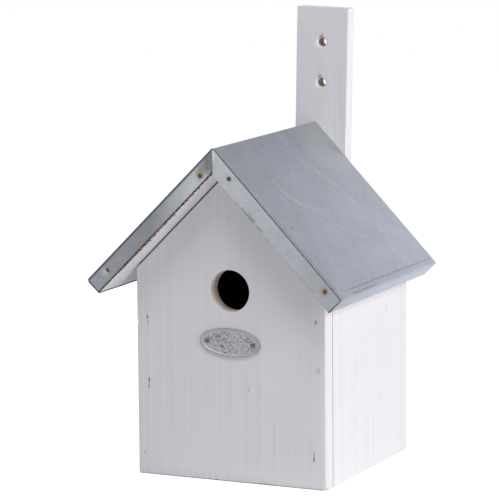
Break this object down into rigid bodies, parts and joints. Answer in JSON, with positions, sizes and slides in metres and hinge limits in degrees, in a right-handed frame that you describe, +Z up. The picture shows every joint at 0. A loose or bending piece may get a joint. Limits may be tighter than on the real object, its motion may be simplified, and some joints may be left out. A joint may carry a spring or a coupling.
{
  "type": "nest box",
  "caption": "Gabled wooden nest box with a round entrance hole, a folded metal roof, an oval plaque and a tall rear batten drilled for hanging.",
  "frame": {"origin": "middle of the walls' footprint, on the underside of the floor", "axes": "+X to the right as seen from the front, -Y out of the entrance, +Z up"},
  "size_m": [0.208, 0.2014, 0.3504],
  "materials": {
    "painted_wood": "thin white paint over pine grain",
    "raw_wood": "bare sawn pine",
    "zinc_sheet": "dull galvanised sheet",
    "nail_steel": "weathered steel with rust",
    "screw_steel": "plated steel",
    "cast_plaque": "dull cast metal"
  },
  "bodies": {
    "root": {"front_wall": "painted_wood", "back_wall": "painted_wood", "left_wall": "painted_wood", "right_wall": "painted_wood", "floor_panel": "raw_wood", "left_roof_board": "painted_wood", "right_roof_board": "painted_wood", "roof_sheet": "zinc_sheet", "roof_nail_left_upper": "nail_steel", "roof_nail_left_lower": "nail_steel", "roof_nail_right_upper": "nail_steel", "roof_nail_right_lower": "nail_steel", "hanging_batten": "painted_wood", "batten_screw_upper": "screw_steel", "batten_screw_lower": "screw_steel", "plaque": "cast_plaque", "plaque_pin_left": "nail_steel", "plaque_pin_right": "nail_steel"}
  },
  "joints": []
}
